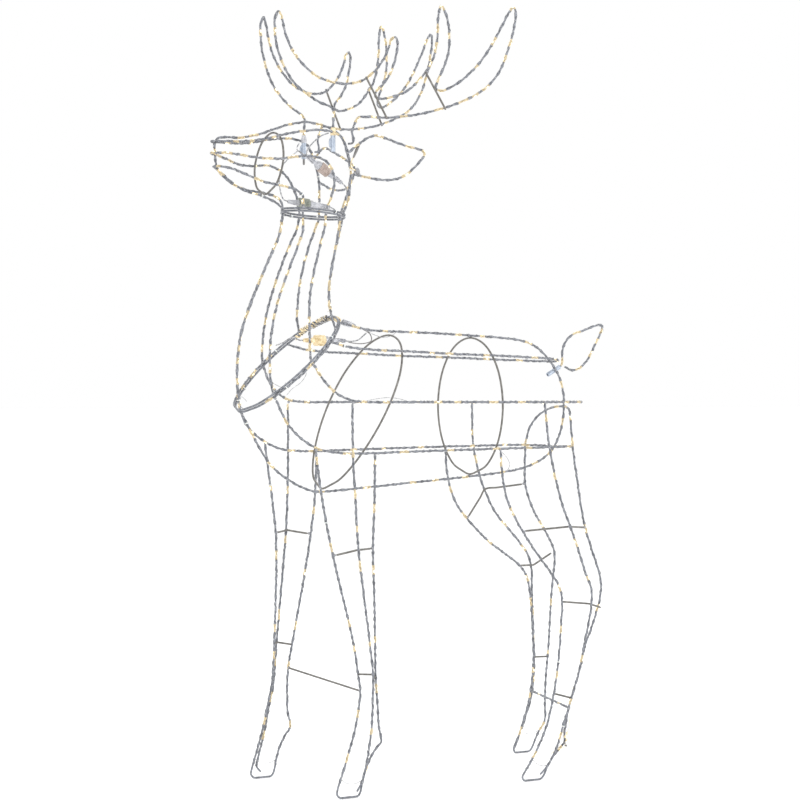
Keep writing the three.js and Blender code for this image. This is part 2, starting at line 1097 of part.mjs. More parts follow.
// Two halves that meet at a flange, and the collar that turns on the plug half.
function screwConnector(name, place) {
  const { core, face, flange, nut } = CONNECTOR;
  const group = connectorGroup(place);
  add(`${name}_socket`, half(core, face, flange), clearPlastic, group);
  add(`${name}_plug`, half(core, core, nut + 2).rotateX(Math.PI), clearPlastic, group);
  add(`${name}_nut`, nutGeometry().translate(0, 0, GAP), nutPlastic, group);
}

function connectors() {
  const { core, face, nut, reach } = CONNECTOR;
  // Inside the head, for the antlers' strings: one closed pair under its nut
  const antler = connectorGroup({ x: -207, y: 0, z: 1199, pitch: 32.5 });
  const paired = [
    [0, -reach],
    [3.4, -reach],
    [5.4, -nut],
    [face, -nut + 6],
    [face, -nut / 2 - GAP],
    [core, -nut / 2 - GAP],
    [core, nut / 2 + GAP],
    [5.4, nut],
    [3.4, reach],
    [0, reach],
  ];
  add(
    "antler_connector_body",
    new THREE.LatheGeometry(
      paired.map(([r, z]) => new THREE.Vector2(r, z)),
      12,
    ).rotateX(Math.PI / 2),
    clearPlastic,
    antler,
  );
  add("antler_connector_nut", nutGeometry().translate(0, 0, -nut / 2), nutPlastic, antler);

  // Over the head's base ring, between the neck's string and the head's
  screwConnector("neck_connector", { x: -240, y: 0, z: 1130, pitch: 180 + 4.5 });

  // Under the spine at the neck ring, between the body's string and the neck's
  screwConnector("body_connector", { x: -214, y: -16, z: 866, pitch: 180 });

  // Beside the spine, where the power lead screws on
  const inlet = connectorGroup({ x: -132, y: 13, z: 896, pitch: 195 });
  const profile = [
    [0, 0],
    [4.2, 0],
    [5.2, 10],
    [6.2, 12],
    [6.2, 30],
    [4.4, 30],
    [4.4, 20],
    [0, 20],
  ];
  add(
    "power_inlet",
    new THREE.LatheGeometry(
      profile.map(([r, z]) => new THREE.Vector2(r, z)),
      12,
    ).rotateX(Math.PI / 2),
    clearPlastic,
    inlet,
  );
}

body();
legs.forEach(legWires);
rumpAndCrossbars();
tail();
neck();
head();
await antlerSockets();
antlers();
connectors();

export default deer;
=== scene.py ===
"""Looks of the light-up yard reindeer: round powder-coated wires, the light string wound on them with its
warm micro lights, weld beads, cable ties, connectors and sockets, on a plain pale floor."""

import json
import math
import random

import bmesh
import bpy
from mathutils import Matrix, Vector
from mathutils.kdtree import KDTree


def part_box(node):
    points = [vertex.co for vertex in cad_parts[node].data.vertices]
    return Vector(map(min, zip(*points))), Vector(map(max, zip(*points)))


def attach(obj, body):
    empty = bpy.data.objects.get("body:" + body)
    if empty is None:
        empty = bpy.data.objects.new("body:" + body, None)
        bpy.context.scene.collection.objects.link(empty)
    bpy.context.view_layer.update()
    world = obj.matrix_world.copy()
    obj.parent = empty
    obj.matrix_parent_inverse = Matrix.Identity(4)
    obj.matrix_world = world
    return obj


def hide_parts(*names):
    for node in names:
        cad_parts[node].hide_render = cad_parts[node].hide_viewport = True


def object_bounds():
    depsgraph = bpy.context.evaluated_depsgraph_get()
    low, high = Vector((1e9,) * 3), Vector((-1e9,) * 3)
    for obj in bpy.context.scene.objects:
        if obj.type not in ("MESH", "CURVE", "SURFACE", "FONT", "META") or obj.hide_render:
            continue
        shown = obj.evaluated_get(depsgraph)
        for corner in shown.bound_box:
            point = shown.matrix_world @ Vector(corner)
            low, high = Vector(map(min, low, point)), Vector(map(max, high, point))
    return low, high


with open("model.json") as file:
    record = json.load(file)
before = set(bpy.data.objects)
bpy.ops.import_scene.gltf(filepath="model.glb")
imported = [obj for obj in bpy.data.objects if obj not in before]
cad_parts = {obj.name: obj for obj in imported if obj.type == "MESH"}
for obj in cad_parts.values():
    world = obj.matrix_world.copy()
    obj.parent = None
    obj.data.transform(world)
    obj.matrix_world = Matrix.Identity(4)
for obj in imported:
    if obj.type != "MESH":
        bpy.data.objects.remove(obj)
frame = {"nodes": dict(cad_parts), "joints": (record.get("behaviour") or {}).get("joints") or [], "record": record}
cad_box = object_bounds()

MM = 0.001
WIRE_RADIUS = 2 * MM
CORNER = WIRE_RADIUS / math.cos(math.pi / 6)  # half a CAD wire across its corners
SIDE_LINK = 1.04 * CORNER  # corners of one CAD cross-section are linked at this distance
LEAD_RADIUS = 0.55 * MM
LEAD_ORBIT = WIRE_RADIUS + 0.8 * LEAD_RADIUS
STEP = 3 * MM  # between samples along a wire
PITCH = (30 * MM, 42 * MM)  # of the string's turns round a wire
DROP_LENGTH = (2.3 * MM, 3.4 * MM)  # half the length of a light
DROP_RADIUS = 1.2 * MM
GLOW = 10 * MM  # the most of the lead and wire that takes a light's painted glow, each way
SPACING = {"torso": 78 * MM, "leg": 115 * MM}  # between lights; the sections above carry more
CLOSE_SPACING = 54 * MM
UP = Vector((0, 0, 1))

BODY_OF = {n: b for b, names in frame["record"]["behaviour"]["bodies"].items() for n in names}
JOINT = {j["name"]: j for j in frame["joints"]}


# Camera: level, far off, a little ahead of the deer's left side
def add_camera():
    data = bpy.data.cameras.new("camera")
    data.sensor_width = 36
    data.lens = 92.7
    data.shift_y = 0.0025
    camera = bpy.data.objects.new("camera", data)
    camera.location = (-1.9583, -3.6077, 0.747)
    camera.rotation_euler = (math.radians(90), 0, math.radians(-28))
    bpy.context.scene.collection.objects.link(camera)
    bpy.context.scene.camera = camera


def add_light(name, place, size, power):
    data = bpy.data.lights.new(name, "AREA")
    data.size = size
    data.energy = power
    light = bpy.data.objects.new(name, data)
    light.location = place
    light.rotation_euler = (Vector((0, 0, 0.8)) - Vector(place)).to_track_quat("-Z", "Y").to_euler()
    bpy.context.scene.collection.objects.link(light)


# Materials
def material(name, color, roughness, metallic=0.0, **sockets):
    made = bpy.data.materials.new(name)
    made.use_nodes = True
    shader = made.node_tree.nodes["Principled BSDF"]
    shader.inputs["Base Color"].default_value = (*color, 1)
    shader.inputs["Roughness"].default_value = roughness
    shader.inputs["Metallic"].default_value = metallic
    for socket, value in sockets.items():
        shader.inputs[socket.replace("_", " ")].default_value = value
    return made


def mottle(made, dark, pale, scale, detail=4.0, bump=0.0, roughness=None, stretch=(1, 1, 1)):
    """Colour, roughness and bump that vary over the surface in object coordinates."""
    tree = made.node_tree
    nodes, links = tree.nodes, tree.links
    shader = nodes["Principled BSDF"]
    place = nodes.new("ShaderNodeTexCoord")
    mapping = nodes.new("ShaderNodeMapping")
    mapping.inputs["Scale"].default_value = stretch
    noise = nodes.new("ShaderNodeTexNoise")
    noise.inputs["Scale"].default_value = scale
    noise.inputs["Detail"].default_value = detail
    ramp = nodes.new("ShaderNodeValToRGB")
    ramp.color_ramp.elements[0].position = 0.32
    ramp.color_ramp.elements[1].position = 0.68
    ramp.color_ramp.elements[0].color = (*dark, 1)
    ramp.color_ramp.elements[1].color = (*pale, 1)
    links.new(place.outputs["Object"], mapping.inputs["Vector"])
    links.new(mapping.outputs["Vector"], noise.inputs["Vector"])
    links.new(noise.outputs["Fac"], ramp.inputs["Fac"])
    links.new(ramp.outputs["Color"], shader.inputs["Base Color"])
    if roughness:
        spread = nodes.new("ShaderNodeMapRange")
        spread.inputs["To Min"].default_value = roughness[0]
        spread.inputs["To Max"].default_value = roughness[1]
        links.new(noise.outputs["Fac"], spread.inputs["Value"])
        links.new(spread.outputs["Result"], shader.inputs["Roughness"])
    if bump:
        grain = nodes.new("ShaderNodeTexNoise")
        grain.inputs["Scale"].default_value = 5 * scale
        links.new(mapping.outputs["Vector"], grain.inputs["Vector"])
        relief = nodes.new("ShaderNodeBump")
        relief.inputs["Strength"].default_value = bump
        relief.inputs["Distance"].default_value = 0.2 * MM
        links.new(grain.outputs["Fac"], relief.inputs["Height"])
        links.new(relief.outputs["Normal"], shader.inputs["Normal"])
    return made


PAINT = mottle(
    material("powder_coated_wire", (0.3, 0.31, 0.33), 0.45, 0.25),
    (0.085, 0.09, 0.105), (0.29, 0.305, 0.34), 190, bump=0.25, roughness=(0.35, 0.6),
)
BARE = mottle(
    material("bare_wire", (0.33, 0.32, 0.31), 0.4, 0.4),
    (0.11, 0.106, 0.098), (0.22, 0.21, 0.195), 120, bump=0.2, roughness=(0.3, 0.5),
)
# Painted glow: wire next to a micro light is paler, warmer and faintly emissive, standing in for the light the
# bulb casts on it
LIT_PAINT = mottle(
    material("wire_with_painted_glow", (0.55, 0.46, 0.3), 0.45, 0.1,
             Emission_Color=(1.0, 0.66, 0.26, 1), Emission_Strength=0.06),
    (0.24, 0.2, 0.13), (0.66, 0.56, 0.37), 260, bump=0.2,
)
WELD = mottle(
    material("weld_bead", (0.3, 0.31, 0.33), 0.6, 0.3),
    (0.2, 0.2, 0.21), (0.4, 0.41, 0.44), 420, bump=0.6, roughness=(0.4, 0.7),
)
LEAD = mottle(
    material("clear_lead", (0.6, 0.61, 0.64), 0.22, Transmission_Weight=0.3, IOR=1.5, Coat_Weight=0.3),
    (0.06, 0.06, 0.065), (0.7, 0.71, 0.74), 230, roughness=(0.15, 0.35),
)
# Painted glow: lead next to a micro light is drawn pale gold and faintly emissive, standing in for the bulb's
# light on it
LIT_LEAD = mottle(
    material("lead_with_painted_glow", (0.8, 0.68, 0.45), 0.3,
             Emission_Color=(1.0, 0.7, 0.3, 1), Emission_Strength=0.16),
    (0.34, 0.27, 0.14), (1.0, 0.9, 0.66), 300,
)
DARK_LEAD = mottle(
    material("smoky_lead", (0.2, 0.19, 0.19), 0.35, Coat_Weight=0.2),
    (0.12, 0.115, 0.11), (0.27, 0.26, 0.26), 150, roughness=(0.25, 0.45),
)
LIGHT = mottle(
    material("lit_drop", (1.0, 0.9, 0.65), 0.15, Emission_Color=(1.0, 0.86, 0.56, 1), Emission_Strength=1.3),
    (1.0, 0.78, 0.4), (1.0, 0.96, 0.85), 500,
)
FROST = mottle(
    material("frosted_clear_plastic", (0.8, 0.81, 0.84), 0.3, Transmission_Weight=0.35, IOR=1.45,
             Coat_Weight=0.25),
    (0.4, 0.41, 0.45), (0.78, 0.79, 0.83), 90, bump=0.12, roughness=(0.22, 0.42),
)
# Painted glow on clear plastic: the body connector and the left antler sleeve have the string's light painted in;
# on the spare lights it stands for a lit bulb
LIT_FROST = mottle(
    material("lit_clear_plastic", (0.75, 0.63, 0.4), 0.3, Emission_Color=(1.0, 0.64, 0.22, 1),
             Emission_Strength=0.12),
    (0.4, 0.3, 0.14), (0.9, 0.8, 0.58), 110, bump=0.12,
)
NUT = mottle(
    material("smoky_ribbed_plastic", (0.42, 0.33, 0.29), 0.35, Coat_Weight=0.3),
    (0.33, 0.26, 0.225), (0.5, 0.41, 0.37), 130, bump=0.15, roughness=(0.28, 0.48),
)
TUBE = mottle(
    material("painted_socket", (0.42, 0.48, 0.57), 0.35, 0.45),
    (0.34, 0.39, 0.47), (0.5, 0.56, 0.65), 120, bump=0.2, roughness=(0.25, 0.45),
)
SMOKE = mottle(
    material("grey_collar_plastic", (0.25, 0.27, 0.24), 0.35, Coat_Weight=0.3),
    (0.16, 0.18, 0.15), (0.36, 0.38, 0.33), 130, bump=0.15, roughness=(0.28, 0.48),
)
TIE = mottle(
    material("tie_plastic", (0.75, 0.75, 0.73), 0.4, Subsurface_Weight=0.1),
    (0.66, 0.66, 0.63), (0.85, 0.85, 0.83), 200, bump=0.15, roughness=(0.3, 0.5),
)
FLOOR = mottle(
    material("pale_floor", (0.95, 0.95, 0.95), 0.9, Emission_Color=(1, 1, 1, 1), Emission_Strength=0.12),
    (0.94, 0.94, 0.94), (0.97, 0.97, 0.97), 3,
)


# Geometry helpers
def any_normal(axis):
    other = UP if abs(axis.dot(UP)) < 0.9 else Vector((1, 0, 0))
    return axis.cross(other).normalized()


def in_mm(rows):
    """A profile's (radius, distance) corners, written in millimetres."""
    return [(radius * MM, distance * MM) for radius, distance in rows]


def kept_inside(point, margin):
    """The point, moved the little that keeps a piece of that radius inside the CAD box."""
    low, high = cad_box
    return Vector(min(max(v, low[i] + margin), high[i] - margin) for i, v in enumerate(point))


class Shape:
    """A mesh under construction, whose faces each have a material number."""

    def __init__(self):
        self.verts = []
        self.faces = []
        self.materials = []

    def face(self, corners, number=0):
        self.faces.append(corners)
        self.materials.append(number)

    def rings(self, rings, numbers=None, closed=False):
        """Skins a row of vertex rings, with a flat cap at each end unless closed."""
        sides = len(rings[0])
        base = len(self.verts)
        for ring in rings:
            self.verts.extend(ring)
        spans = len(rings) if closed else len(rings) - 1
        for i in range(spans):
            a = base + i * sides
            b = base + ((i + 1) % len(rings)) * sides
            for j in range(sides):
                k = (j + 1) % sides
                self.face((a + j, a + k, b + k, b + j), numbers[i] if numbers else 0)
        if not closed:
            last = base + (len(rings) - 1) * sides
            self.face(tuple(base + j for j in reversed(range(sides))), numbers[0] if numbers else 0)
            self.face(tuple(last + j for j in range(sides)), numbers[-1] if numbers else 0)

    def tube(self, points, radius, sides=8, numbers=None, closed=False):
        """A round tube along the points, with softened ends."""
        tangents, normals = transported(points, closed)
        rings = []
        count = len(points)
        for i, (p, t, n) in enumerate(zip(points, tangents, normals)):
            at_end = not closed and i in (0, count - 1)
            r = radius * (0.72 if at_end else 1)
            side = t.cross(n)
            ring = []
            for j in range(sides):
                angle = 2 * math.pi * j / sides
                ring.append(p + r * (math.cos(angle) * n + math.sin(angle) * side))
            rings.append(ring)
        self.rings(rings, numbers, closed)

    def lathe(self, profile, origin, axis, sides=28, number=0, flutes=0, depth=0.0):
        """Turns (radius, distance) corners round an axis. flutes cut that many grooves of a depth."""
        axis = axis.normalized()
        n = any_normal(axis)
        side = axis.cross(n)
        rings = []
        for radius, distance in profile:
            ring = []
            for j in range(sides):
                angle = 2 * math.pi * j / sides
                r = max(radius, 0.05 * MM)
                if flutes and radius > 4 * depth:
                    r -= depth * (0.5 - 0.5 * math.cos(flutes * angle)) ** 2
                spoke = math.cos(angle) * n + math.sin(angle) * side
                ring.append(origin + distance * axis + r * spoke)
            rings.append(ring)
        self.rings(rings, [number] * len(rings), closed=profile[0] == profile[-1])

    def blob(self, centre, axis, along, across, number=0, sides=8, levels=6):
        """A drop: round across its axis and longer along it."""
        profile = []
        for i in range(levels + 1):
            angle = math.pi * i / levels
            profile.append((across * math.sin(angle), -along * math.cos(angle)))
        self.lathe(profile, centre, axis, sides, number)


def transported(points, closed=False):
    """Tangents and untwisting normals along a row of points."""
    count = len(points)
    tangents = []
    for i in range(count):
        before = points[(i - 1) % count] if closed else points[max(i - 1, 0)]
        after = points[(i + 1) % count] if closed else points[min(i + 1, count - 1)]
        tangents.append((after - before).normalized())
    normal = any_normal(tangents[0])
    normals = []
    for tangent in tangents:
        normal = (normal - normal.dot(tangent) * tangent).normalized()
        normals.append(normal)
    if closed:
        spun = normals[-1] - normals[-1].dot(tangents[0]) * tangents[0]
        twist = spun.angle(normals[0]) * (1 if spun.cross(normals[0]).dot(tangents[0]) > 0 else -1)
        for i in range(count):
            angle = twist * i / count
            side = tangents[i].cross(normals[i])
            normals[i] = math.cos(angle) * normals[i] + math.sin(angle) * side
    return tangents, normals


def between(a, b, start, end, at):
    return a + (b - a) * ((at - start) / (end - start))


def smooth(points, step, closed=False):
    """Even points along a centripetal Catmull-Rom curve."""
    count = len(points)
    if closed:
        ends = [points[-1], *points, points[0], points[1]]
    else:
        ends = [2 * points[0] - points[1], *points, 2 * points[-1] - points[-2]]
    fine = []
    for i in range(1, count + (1 if closed else 0)):
        p = ends[i - 1 : i + 3]
        knots = [0.0]
        for a, b in zip(p, p[1:]):
            knots.append(knots[-1] + max((b - a).length, 1e-7) ** 0.5)
        pieces = max(2, math.ceil((p[2] - p[1]).length / step * 2))
        for k in range(pieces):
            t = knots[1] + (knots[2] - knots[1]) * k / pieces
            first = [between(p[m], p[m + 1], knots[m], knots[m + 1], t) for m in range(3)]
            second = [between(first[m], first[m + 1], knots[m], knots[m + 2], t) for m in range(2)]
            fine.append(between(second[0], second[1], knots[1], knots[2], t))
    if not closed:
        fine.append(points[-1].copy())
    return evened(fine, step, closed)


def evened(fine, step, closed=False):
    """Points an even step apart along a row of straight stretches."""
    row = [*fine, fine[0]] if closed else fine
    marks = [0.0]
    for a, b in zip(row, row[1:]):
        marks.append(marks[-1] + (b - a).length)
    spans = max(2, round(marks[-1] / step))
    out = []
    i = 0
    for k in range(spans + (0 if closed else 1)):
        want = marks[-1] * k / spans
        while i < len(marks) - 2 and marks[i + 1] < want:
            i += 1
        share = (want - marks[i]) / max(marks[i + 1] - marks[i], 1e-9)
        out.append(row[i].lerp(row[i + 1], share))
    return out


def section_centres(node):
    """Centres of a CAD wire's cross-sections in order, and whether the wire closes on itself."""
    bm = bmesh.new()
    bm.from_mesh(frame["nodes"][node].data)
    bmesh.ops.remove_doubles(bm, verts=bm.verts, dist=0.01 * MM)
    bm.verts.ensure_lookup_table()
    tree = KDTree(len(bm.verts))
    for v in bm.verts:
        tree.insert(v.co, v.index)
    tree.balance()
    group = {}
    centres = []
    for v in bm.verts:
        if v.index in group:
            continue
        members = [v.index]
        group[v.index] = len(centres)
        for m in members:
            for _, index, _ in tree.find_range(bm.verts[m].co, SIDE_LINK):
                if index not in group:
                    group[index] = len(centres)
                    members.append(index)
        centres.append(sum((bm.verts[m].co for m in members), Vector()) / len(members))
    near = [set() for _ in centres]
    for e in bm.edges:
        a, b = (group[v.index] for v in e.verts)
        if a != b:
            near[a].add(b)
            near[b].add(a)
    capped = {group[f.verts[0].index] for f in bm.faces if len({group[v.index] for v in f.verts}) == 1}
    bm.free()
    path = [min(capped)]
    while True:
        here = centres[path[-1]]
        left = [c for c in near[path[-1]] if c not in path]
        if not left:
            break
        path.append(min(left, key=lambda c: (centres[c] - here).length))
    closes = len(capped) == 1
    if closes and centres[path[1]].y < centres[path[0]].y:
        path = [path[0], *reversed(path[1:])]
    return [centres[c] for c in path], closes


def make(name, shape, materials, body, replaced=(), sharp=None):
    """A piece on a body. Edges that bend more than sharp degrees stay crisp."""
    mesh = bpy.data.meshes.new(name)
    mesh.from_pydata(shape.verts, [], shape.faces)
    for m in materials:
        mesh.materials.append(m)
    mesh.polygons.foreach_set("material_index", shape.materials)
    mesh.shade_smooth()
    if sharp:
        mesh.set_sharp_from_angle(angle=math.radians(sharp))
    mesh.update()
    piece = bpy.data.objects.new(name, mesh)
    bpy.context.scene.collection.objects.link(piece)
    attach(piece, body)
    if replaced:
        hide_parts(*replaced)


# Wires: every node whose finish is a wire, as a round wire on the CAD wire's own centreline
SLOT_OF = {s["node"]: s["material_slot"] for s in frame["record"]["subparts"]}
WIRES = sorted(n for n, s in SLOT_OF.items() if s in ("frame_wire", "bare_wire"))
UNWOUND_START = {"antler_left": 36 * MM, "antler_right": 36 * MM, "tail_loop": 34 * MM}
WOUND_SHARE = {  # the stretch of a ring that the string follows, from its low end by the right side
    "head_base_ring": (0.8, 0.86),
    "neck_upper_ring": (0.1, 0.16),
    "body_neck_ring": (0.62, 0.9),
    "neck_lower_ring": (0.1, 0.3),
}
BARE_HOOF = 22 * MM  # below this height a hoof has no string on it

centreline = {}
for node in WIRES:
    centres, closes = section_centres(node)
    centreline[node] = ([kept_inside(p, WIRE_RADIUS) for p in smooth(centres, STEP, closes)], closes)


def bulb_marks(node, count, draw):
    """Sample numbers where the string on a wire has a light."""
    is_leg = node.startswith(("front_", "rear_"))
    spacing = SPACING.get("leg" if is_leg else BODY_OF[node], CLOSE_SPACING)
    marks = []
    at = draw.uniform(0.1, 0.9) * spacing
    while at < count * STEP - 4 * MM:
        marks.append(round(at / STEP))
        at += spacing * draw.uniform(0.45, 1.6)
    return marks


def wound_samples(node, points):
    """Whether each sample of a wire has the string on it."""
    start = UNWOUND_START.get(node, 0) / STEP
    shares = WOUND_SHARE.get(node, (0, 1))
    count = len(points)
    return [
        i >= start and p.z > BARE_HOOF and shares[0] <= i / count <= shares[1]
        for i, p in enumerate(points)
    ]


def add_lead(strings, run, numbers):
    """Adds a stretch of lead, unless it is too short to be seen."""
    if len(run) > 3:
        strings.tube(run, LEAD_RADIUS, 6, numbers)


def wind_string(node, points, closed, draw):
    """Two leads wound round a wire, in stretches, with a drop-shaped light now and then.

    Returns the samples that take the lights' painted glow.
    """
    tangents, normals = transported(points, closed)
    free = wound_samples(node, points)
    bulbs = [i for i in bulb_marks(node, len(points), draw) if i < len(points) and free[i]]
    pitch = draw.uniform(*PITCH)
    strings = Shape()
    lights = Shape()
    glow = round(GLOW / STEP)
    # painted glow: the samples on either side of each light
    lit = set()
    for i in bulbs:
        lit.update(range(i - draw.randint(1, glow), i + draw.randint(1, glow) + 1))
    turn = 1 if draw.random() < 0.5 else -1
    phase = draw.uniform(0, 2 * math.pi)
    for lead in range(2):
        if lead == 1:
            phase += draw.uniform(1.2, 3.2)
        run = []
        numbers = []
        slack = draw.uniform(0, 6)
        for i, p in enumerate(points):
            if not free[i]:
                add_lead(strings, run, numbers)
                run = []
                numbers = []
                continue
            s = i * STEP
            # the turns wander along the wire, and the leads lift off it a little here and there
            wander = 0.7 * math.sin(s / (11 * MM) + slack) + 0.4 * math.sin(s / (27 * MM) + 2 * slack)
            angle = turn * 2 * math.pi * s / pitch + phase + wander
            lift = 0.35 * MM * max(0.0, math.sin(s / (9 * MM) + 3 * slack + lead))
            side = tangents[i].cross(normals[i])
            out = math.cos(angle) * normals[i] + math.sin(angle) * side
            run.append(kept_inside(p + (LEAD_ORBIT + lift) * out, LEAD_RADIUS))
            # samples near a light take LIT_LEAD, the painted glow
            numbers.append(1 if i in lit else 0)
            if lead == 0 and i in bulbs:
                centre = kept_inside(p + (WIRE_RADIUS + MM) * out, 1.8 * MM)
                axis = (tangents[i] + 0.3 * out).normalized()
                lights.blob(centre, axis, draw.uniform(*DROP_LENGTH), DROP_RADIUS)
        add_lead(strings, run, numbers)
    if strings.faces:
        make(node + "_string", strings, [LEAD, LIT_LEAD], BODY_OF[node])
    if lights.faces:
        make(node + "_lights", lights, [LIGHT], BODY_OF[node])
    return lit


def add_wires():
    for number, node in enumerate(WIRES):
        points, closed = centreline[node]
        draw = random.Random(100 + number)
        wound = SLOT_OF[node] == "frame_wire"
        lit = wind_string(node, points, closed, draw) if wound else set()
        shape = Shape()
        # wire samples near a light take LIT_PAINT, the painted glow
        numbers = [1 if i in lit else 0 for i in range(len(points))]
        shape.tube(points, WIRE_RADIUS, 12, numbers, closed)
        finish = [PAINT, LIT_PAINT] if wound else [BARE, LIT_PAINT]
        make(node + "_round", shape, finish, BODY_OF[node], [node])


# Weld beads wherever two wires of one body meet
CROSSING_GAP = 5.7 * MM  # between centrelines where one wire crosses another
END_GAP = 9 * MM  # and where one ends on another
WELDS_APART = 16 * MM


def weld_spots(names):
    """Middles of the places where the wires meet, with no two close together."""
    spots = []
    for i, a in enumerate(names):
        row, _ = centreline[a]
        tree = KDTree(len(row))
        for k, p in enumerate(row):
            tree.insert(p, k)
        tree.balance()
        for j, b in enumerate(names):
            if b == a:
                continue
            other, other_closed = centreline[b]
            found = []
            for k, q in enumerate(other):
                is_end = not other_closed and k in (0, len(other) - 1)
                co, _, gap = tree.find(q)
                if (is_end and gap < END_GAP) or (j > i and gap < CROSSING_GAP):
                    found.append((gap, q, co))
            for _, q, co in sorted(found, key=lambda f: f[0]):
                middle = (q + co) / 2
                if all((middle - spot).length > WELDS_APART for spot in spots):
                    spots.append(middle)
    return spots


def add_welds():
    for body in sorted(set(BODY_OF.values())):
        shape = Shape()
        draw = random.Random(7)
        for spot in weld_spots([n for n in WIRES if BODY_OF[n] == body]):
            axis = Vector([draw.uniform(-1, 1) for _ in range(3)]).normalized()
            shape.blob(kept_inside(spot, 3 * MM), axis, 3.1 * MM, 2.7 * MM, sides=10, levels=8)
        if shape.faces:
            make(body + "_weld_beads", shape, [WELD], body)


# Cable ties: a strap round one wire and its string, with its lock and a cut tail
def add_ties():
    spots = {
        "torso": [("body_neck_ring", 0.16), ("body_neck_ring", 0.84), ("spine_and_belly_wire", 0.012),
                  ("front_left_hoof_wire", 0.1), ("rear_left_hoof_wire", 0.33), ("upper_side_loop", 0.02),
                  ("rear_left_outer_wire", 0.86), ("front_right_hoof_wire", 0.06)],
        "neck": [("neck_lower_ring", 0.3), ("neck_lower_ring", 0.66), ("neck_upper_ring", 0.2),
                 ("neck_back_wire", 0.04), ("neck_back_wire", 0.95), ("neck_front_wire", 0.96)],
        "head": [("head_base_ring", 0.35), ("head_base_ring", 0.7), ("head_midline_wire", 0.93),
                 ("brow_loop", 0.1), ("brow_loop", 0.9), ("jaw_loop", 0.06)],
    }
    half_strap = 1.1 * MM
    strap_thickness = 0.7 * MM
    for body, places in spots.items():
        shape = Shape()
        for node, share in places:
            points, closed = centreline[node]
            i = min(int(share * len(points)), len(points) - 2)
            p = points[i]
            axis = (points[i + 1] - p).normalized()
            r = LEAD_ORBIT + LEAD_RADIUS
            outer = r + strap_thickness
            band = [(r, -half_strap), (outer, -half_strap), (outer, half_strap), (r, half_strap)]
            shape.lathe([*band, band[0]], p, axis, 20)
            out = any_normal(axis)
            along = axis.cross(out)
            lock = p + (r + 1.3 * MM) * out
            shape.tube([lock - 1.6 * MM * axis, lock, lock + 1.6 * MM * axis], 1.4 * MM, 6)
            shape.tube([lock, lock + 3 * MM * along, lock + 6 * MM * along + MM * out], 0.6 * MM, 5)
        make(body + "_cable_ties", shape, [TIE], body, sharp=40)


# Sockets that take the pins of the antlers and the tail
PIN_X = -220 * MM  # where the antlers' pins stand
SOCKET_OUTER = 4.7 * MM
SOCKET_BORE = 2.75 * MM


def socket_profile(low, high):
    """A tube with chamfered outer rims, as a closed profile."""
    rim = SOCKET_OUTER - 0.4 * MM
    return [(SOCKET_BORE, low), (rim, low), (SOCKET_OUTER, low + 0.5 * MM), (SOCKET_OUTER, high - 0.5 * MM),
            (rim, high), (SOCKET_BORE, high), (SOCKET_BORE, low)]


def add_sockets():
    for side in ("left", "right"):
        low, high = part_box("antler_socket_" + side)
        root = Vector((PIN_X, (low.y + high.y) / 2, low.z))
        length = high.z - low.z
        tube = Shape()
        tube.lathe(socket_profile(0, length), root, UP, 32)
        edge = root.x - SOCKET_OUTER
        reach = edge - low.x - 0.2 * MM
        faces = []
        for y in (-0.8 * MM, 0.8 * MM):
            face = []
            for i in range(10):
                angle = math.pi * (0.5 + i / 9)
                height = root.z + length / 2 + 10 * MM * math.sin(angle)
                face.append(Vector((edge + reach * math.cos(angle), root.y + y, height)))
            faces.append(face)
        tube.rings(faces)
        make(f"antler_socket_{side}_tube", tube, [TUBE], "head",
             ["antler_socket_" + side], sharp=35)
    axis = Vector(JOINT["tail_pull_out"]["axis"])
    low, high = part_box("tail_socket")
    middle = (low + high) / 2
    tube = Shape()
    half = 17 * MM
    tube.lathe(socket_profile(-half, half), middle, axis, 32)
    make("tail_socket_tube", tube, [TUBE], "torso", ["tail_socket"], sharp=35)


# Connectors: clear halves with ribbed strain reliefs at their far ends, under a collar that turns
REACH = 46 * MM  # from the middle to the end of a strain relief
FACE = 8.6 * MM  # radius of the flared end
CORE = 6.4 * MM  # radius inside the collar
COLLAR_OUTER = 10.6 * MM
COLLAR_BORE = 6.8 * MM
COLLAR_LENGTH = 22 * MM
GRIP_RIBS = 20


def relief(start, ribs=7):
    """Profile of a ribbed strain relief that widens from its cable end."""
    rows = [(0, start), (2.2 * MM, start)]
    for i in range(ribs):
        z = start + (1 + 2.6 * i) * MM
        swell = 0.28 * i * MM
        rows += [(2.3 * MM + swell, z), (3.7 * MM + swell, z + 0.5 * MM),
                 (3.7 * MM + swell, z + 1.5 * MM), (2.3 * MM + swell, z + 2 * MM)]
    return rows


def half_profile(body, face, skirt):
    """Profile of a connector half, whose front end flares to the face radius over the skirt."""
    rows = [*relief(-REACH), (body - MM, -REACH + 21 * MM), (body, -REACH + 22.5 * MM), (body, -skirt)]
    if face > body:
        rows += [(face, -skirt), (face, -0.8 * MM)]
    return [*rows, (max(face, body) - 0.6 * MM, -0.2 * MM), (0, -0.2 * MM)]


def collar_shape(centre, axis, start):
    """A collar with a bore and grip ribs, that starts at a distance along the axis."""
    end = start + COLLAR_LENGTH
    rim = COLLAR_OUTER - MM
    profile = [(COLLAR_BORE, start), (rim, start), (COLLAR_OUTER, start + MM), (COLLAR_OUTER, end - MM),
               (rim, end), (COLLAR_BORE, end), (COLLAR_BORE, start)]
    shape = Shape()
    shape.lathe(profile, centre, axis, 120, flutes=GRIP_RIBS, depth=1.1 * MM)
    return shape


